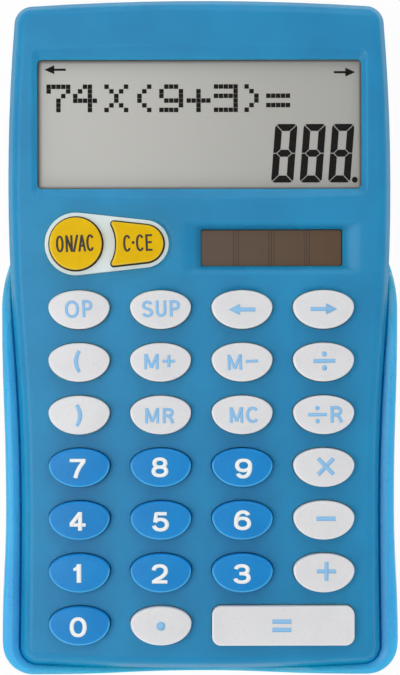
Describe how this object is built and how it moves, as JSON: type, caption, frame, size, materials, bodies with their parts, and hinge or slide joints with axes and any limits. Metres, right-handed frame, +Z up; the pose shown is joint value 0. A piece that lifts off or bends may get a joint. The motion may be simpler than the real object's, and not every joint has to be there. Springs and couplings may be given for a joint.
{
  "type": "desk calculator",
  "caption": "Handheld calculator with a two-line display, a solar cell and egg-shaped push keys, lying on a slide-on hard cover stowed behind it.",
  "frame": {"origin": "middle of the overall box, on the surface that the stowed cover lies on", "axes": "+X to the right of the keys, +Y up the face towards the display, +Z up out of the face"},
  "size_m": [0.0798, 0.1342, 0.0162],
  "materials": {
    "case_blue": "moulded plastic with a soft satin sheen",
    "cover_blue": "smooth moulded hard plastic",
    "key_white": "smooth moulded plastic with printed legends",
    "key_blue": "smooth moulded plastic with printed legends",
    "key_yellow": "smooth moulded plastic with printed legends",
    "inlay_pale": "smooth pale plastic",
    "window_clear": "clear acrylic",
    "lcd_grey": "reflective liquid-crystal glass",
    "frame_white": "plain moulded plastic",
    "elastomer_grey": "layered conductive elastomer",
    "solar_brown": "amorphous silicon on glass",
    "lead_black": "insulated wire",
    "lead_red": "insulated wire",
    "board_green": "solder-masked board",
    "epoxy_black": "black epoxy",
    "silicone_grey": "silicone rubber",
    "cell_steel": "nickel-plated steel",
    "contact_steel": "sprung steel strip",
    "screw_steel": "zinc-plated steel"
  },
  "bodies": {
    "calculator": {"back_case": "case_blue", "battery_contact_negative": "contact_steel", "battery_contact_positive": "contact_steel", "battery_door": "case_blue", "battery_door_screw": "screw_steel", "board_screws": "screw_steel", "buffer_capacitor": "epoxy_black", "button_cell": "cell_steel", "case_screws": "screw_steel", "chip_blob": "epoxy_black", "clear_key_inlay": "inlay_pale", "contact_strip": "elastomer_grey", "display_window": "window_clear", "front_case": "case_blue", "key_mat": "silicone_grey", "lcd_frame": "frame_white", "lcd_front_glass": "lcd_grey", "lcd_rear_glass": "lcd_grey", "main_board": "board_green", "solar_cell": "solar_brown", "solar_lead_negative": "lead_black", "solar_lead_positive": "lead_red"},
    "slide_cover": {"slide_cover": "cover_blue"},
    "key_0": {"key_0": "key_blue"},
    "key_1": {"key_1": "key_blue"},
    "key_2": {"key_2": "key_blue"},
    "key_3": {"key_3": "key_blue"},
    "key_4": {"key_4": "key_blue"},
    "key_5": {"key_5": "key_blue"},
    "key_6": {"key_6": "key_blue"},
    "key_7": {"key_7": "key_blue"},
    "key_8": {"key_8": "key_blue"},
    "key_9": {"key_9": "key_blue"},
    "key_bracket_close": {"key_bracket_close": "key_white"},
    "key_bracket_open": {"key_bracket_open": "key_white"},
    "key_clear": {"key_clear": "key_yellow"},
    "key_delete": {"key_delete": "key_white"},
    "key_divide": {"key_divide": "key_white"},
    "key_equals": {"key_equals": "key_white"},
    "key_left": {"key_left": "key_white"},
    "key_memory_clear": {"key_memory_clear": "key_white"},
    "key_memory_minus": {"key_memory_minus": "key_white"},
    "key_memory_plus": {"key_memory_plus": "key_white"},
    "key_memory_recall": {"key_memory_recall": "key_white"},
    "key_minus": {"key_minus": "key_white"},
    "key_multiply": {"key_multiply": "key_white"},
    "key_on": {"key_on": "key_yellow"},
    "key_op": {"key_op": "key_white"},
    "key_plus": {"key_plus": "key_white"},
    "key_point": {"key_point": "key_white"},
    "key_remainder": {"key_remainder": "key_white"},
    "key_right": {"key_right": "key_white"}
  },
  "joints": [
    {"name": "cover_slide", "type": "slide", "parent": "calculator", "child": "slide_cover", "axis": [0, -1, 0], "range_m": [0, 0.135]},
    {"name": "press_0", "type": "slide", "parent": "calculator", "child": "key_0", "axis": [0, 0, -1], "range_m": [0, 0.0012], "stiffness_N_per_m": 400, "springref_m": -0.001, "deforming": ["key_mat"]},
    {"name": "press_1", "type": "slide", "parent": "calculator", "child": "key_1", "axis": [0, 0, -1], "range_m": [0, 0.0012], "stiffness_N_per_m": 400, "springref_m": -0.001, "deforming": ["key_mat"]},
    {"name": "press_2", "type": "slide", "parent": "calculator", "child": "key_2", "axis": [0, 0, -1], "range_m": [0, 0.0012], "stiffness_N_per_m": 400, "springref_m": -0.001, "deforming": ["key_mat"]},
    {"name": "press_3", "type": "slide", "parent": "calculator", "child": "key_3", "axis": [0, 0, -1], "range_m": [0, 0.0012], "stiffness_N_per_m": 400, "springref_m": -0.001, "deforming": ["key_mat"]},
    {"name": "press_4", "type": "slide", "parent": "calculator", "child": "key_4", "axis": [0, 0, -1], "range_m": [0, 0.0012], "stiffness_N_per_m": 400, "springref_m": -0.001, "deforming": ["key_mat"]},
    {"name": "press_5", "type": "slide", "parent": "calculator", "child": "key_5", "axis": [0, 0, -1], "range_m": [0, 0.0012], "stiffness_N_per_m": 400, "springref_m": -0.001, "deforming": ["key_mat"]},
    {"name": "press_6", "type": "slide", "parent": "calculator", "child": "key_6", "axis": [0, 0, -1], "range_m": [0, 0.0012], "stiffness_N_per_m": 400, "springref_m": -0.001, "deforming": ["key_mat"]},
    {"name": "press_7", "type": "slide", "parent": "calculator", "child": "key_7", "axis": [0, 0, -1], "range_m": [0, 0.0012], "stiffness_N_per_m": 400, "springref_m": -0.001, "deforming": ["key_mat"]},
    {"name": "press_8", "type": "slide", "parent": "calculator", "child": "key_8", "axis": [0, 0, -1], "range_m": [0, 0.0012], "stiffness_N_per_m": 400, "springref_m": -0.001, "deforming": ["key_mat"]},
    {"name": "press_9", "type": "slide", "parent": "calculator", "child": "key_9", "axis": [0, 0, -1], "range_m": [0, 0.0012], "stiffness_N_per_m": 400, "springref_m": -0.001, "deforming": ["key_mat"]},
    {"name": "press_bracket_close", "type": "slide", "parent": "calculator", "child": "key_bracket_close", "axis": [0, 0, -1], "range_m": [0, 0.0012], "stiffness_N_per_m": 400, "springref_m": -0.001, "deforming": ["key_mat"]},
    {"name": "press_bracket_open", "type": "slide", "parent": "calculator", "child": "key_bracket_open", "axis": [0, 0, -1], "range_m": [0, 0.0012], "stiffness_N_per_m": 400, "springref_m": -0.001, "deforming": ["key_mat"]},
    {"name": "press_clear", "type": "slide", "parent": "calculator", "child": "key_clear", "axis": [0, 0, -1], "range_m": [0, 0.0012], "stiffness_N_per_m": 400, "springref_m": -0.001, "deforming": ["key_mat"]},
    {"name": "press_delete", "type": "slide", "parent": "calculator", "child": "key_delete", "axis": [0, 0, -1], "range_m": [0, 0.0012], "stiffness_N_per_m": 400, "springref_m": -0.001, "deforming": ["key_mat"]},
    {"name": "press_divide", "type": "slide", "parent": "calculator", "child": "key_divide", "axis": [0, 0, -1], "range_m": [0, 0.0012], "stiffness_N_per_m": 400, "springref_m": -0.001, "deforming": ["key_mat"]},
    {"name": "press_equals", "type": "slide", "parent": "calculator", "child": "key_equals", "axis": [0, 0, -1], "range_m": [0, 0.0012], "stiffness_N_per_m": 400, "springref_m": -0.001, "deforming": ["key_mat"]},
    {"name": "press_left", "type": "slide", "parent": "calculator", "child": "key_left", "axis": [0, 0, -1], "range_m": [0, 0.0012], "stiffness_N_per_m": 400, "springref_m": -0.001, "deforming": ["key_mat"]},
    {"name": "press_memory_clear", "type": "slide", "parent": "calculator", "child": "key_memory_clear", "axis": [0, 0, -1], "range_m": [0, 0.0012], "stiffness_N_per_m": 400, "springref_m": -0.001, "deforming": ["key_mat"]},
    {"name": "press_memory_minus", "type": "slide", "parent": "calculator", "child": "key_memory_minus", "axis": [0, 0, -1], "range_m": [0, 0.0012], "stiffness_N_per_m": 400, "springref_m": -0.001, "deforming": ["key_mat"]},
    {"name": "press_memory_plus", "type": "slide", "parent": "calculator", "child": "key_memory_plus", "axis": [0, 0, -1], "range_m": [0, 0.0012], "stiffness_N_per_m": 400, "springref_m": -0.001, "deforming": ["key_mat"]},
    {"name": "press_memory_recall", "type": "slide", "parent": "calculator", "child": "key_memory_recall", "axis": [0, 0, -1], "range_m": [0, 0.0012], "stiffness_N_per_m": 400, "springref_m": -0.001, "deforming": ["key_mat"]},
    {"name": "press_minus", "type": "slide", "parent": "calculator", "child": "key_minus", "axis": [0, 0, -1], "range_m": [0, 0.0012], "stiffness_N_per_m": 400, "springref_m": -0.001, "deforming": ["key_mat"]},
    {"name": "press_multiply", "type": "slide", "parent": "calculator", "child": "key_multiply", "axis": [0, 0, -1], "range_m": [0, 0.0012], "stiffness_N_per_m": 400, "springref_m": -0.001, "deforming": ["key_mat"]},
    {"name": "press_on", "type": "slide", "parent": "calculator", "child": "key_on", "axis": [0, 0, -1], "range_m": [0, 0.0012], "stiffness_N_per_m": 400, "springref_m": -0.001, "deforming": ["key_mat"]},
    {"name": "press_op", "type": "slide", "parent": "calculator", "child": "key_op", "axis": [0, 0, -1], "range_m": [0, 0.0012], "stiffness_N_per_m": 400, "springref_m": -0.001, "deforming": ["key_mat"]},
    {"name": "press_plus", "type": "slide", "parent": "calculator", "child": "key_plus", "axis": [0, 0, -1], "range_m": [0, 0.0012], "stiffness_N_per_m": 400, "springref_m": -0.001, "deforming": ["key_mat"]},
    {"name": "press_point", "type": "slide", "parent": "calculator", "child": "key_point", "axis": [0, 0, -1], "range_m": [0, 0.0012], "stiffness_N_per_m": 400, "springref_m": -0.001, "deforming": ["key_mat"]},
    {"name": "press_remainder", "type": "slide", "parent": "calculator", "child": "key_remainder", "axis": [0, 0, -1], "range_m": [0, 0.0012], "stiffness_N_per_m": 400, "springref_m": -0.001, "deforming": ["key_mat"]},
    {"name": "press_right", "type": "slide", "parent": "calculator", "child": "key_right", "axis": [0, 0, -1], "range_m": [0, 0.0012], "stiffness_N_per_m": 400, "springref_m": -0.001, "deforming": ["key_mat"]}
  ]
}
